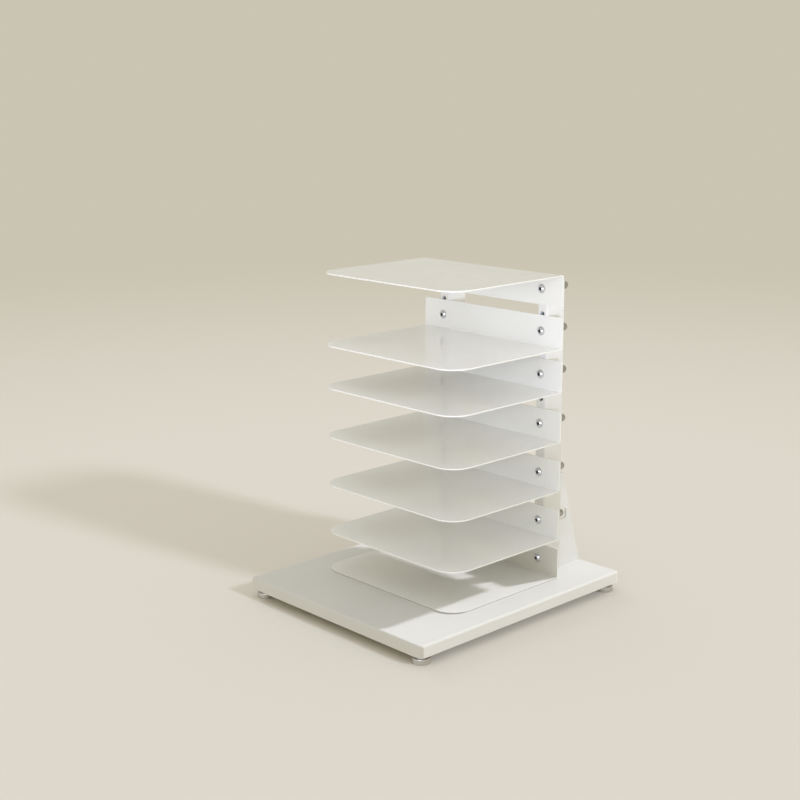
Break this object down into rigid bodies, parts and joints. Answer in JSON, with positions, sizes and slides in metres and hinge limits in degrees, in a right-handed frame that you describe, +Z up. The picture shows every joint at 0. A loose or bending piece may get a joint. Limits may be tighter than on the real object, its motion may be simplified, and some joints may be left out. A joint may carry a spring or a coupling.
{
  "type": "board game tower",
  "caption": "Free-standing open tower of bent-sheet shelves bolted to slim rectangular uprights on a broad base with levelling feet, for storing board game boxes.",
  "frame": {"origin": "on the floor under the middle of the base", "axes": "+Z up, -Y towards the open front of the shelves, +X to the right of someone facing the back from the front"},
  "size_m": [0.38, 0.43, 0.502],
  "materials": {
    "white_powder_coat": "satin white powder coat",
    "white_board": "satin white paint on board",
    "white_plastic": "matt white",
    "bright_steel": "bright nickel plate",
    "zinc_steel": "zinc plate",
    "foot_metal": "satin nickel plate"
  },
  "bodies": {
    "tower": {"base_board": "white_board", "foot_inserts": "zinc_steel", "bottom_shelf": "white_powder_coat", "shelf_2": "white_powder_coat", "shelf_3": "white_powder_coat", "shelf_4": "white_powder_coat", "shelf_5": "white_powder_coat", "shelf_6": "white_powder_coat", "top_shelf": "white_powder_coat", "upright_left": "white_powder_coat", "upright_right": "white_powder_coat", "upright_plug_left": "white_plastic", "upright_plug_right": "white_plastic", "gusset_left": "white_powder_coat", "gusset_right": "white_powder_coat", "shelf_bolts": "bright_steel", "bottom_bolts": "bright_steel", "dome_nuts": "bright_steel", "weld_nuts": "zinc_steel", "base_screws": "white_powder_coat"},
    "foot_front_left": {"foot_disc_front_left": "foot_metal", "foot_stud_front_left": "zinc_steel"},
    "foot_front_right": {"foot_disc_front_right": "foot_metal", "foot_stud_front_right": "zinc_steel"},
    "foot_back_left": {"foot_disc_back_left": "foot_metal", "foot_stud_back_left": "zinc_steel"},
    "foot_back_right": {"foot_disc_back_right": "foot_metal", "foot_stud_back_right": "zinc_steel"}
  },
  "joints": [
    {"name": "foot_front_left_height", "type": "slide", "parent": "tower", "child": "foot_front_left", "axis": [0, 0, -1], "range_m": [0, 0.008]},
    {"name": "foot_front_right_height", "type": "slide", "parent": "tower", "child": "foot_front_right", "axis": [0, 0, -1], "range_m": [0, 0.008]},
    {"name": "foot_back_left_height", "type": "slide", "parent": "tower", "child": "foot_back_left", "axis": [0, 0, -1], "range_m": [0, 0.008]},
    {"name": "foot_back_right_height", "type": "slide", "parent": "tower", "child": "foot_back_right", "axis": [0, 0, -1], "range_m": [0, 0.008]}
  ]
}
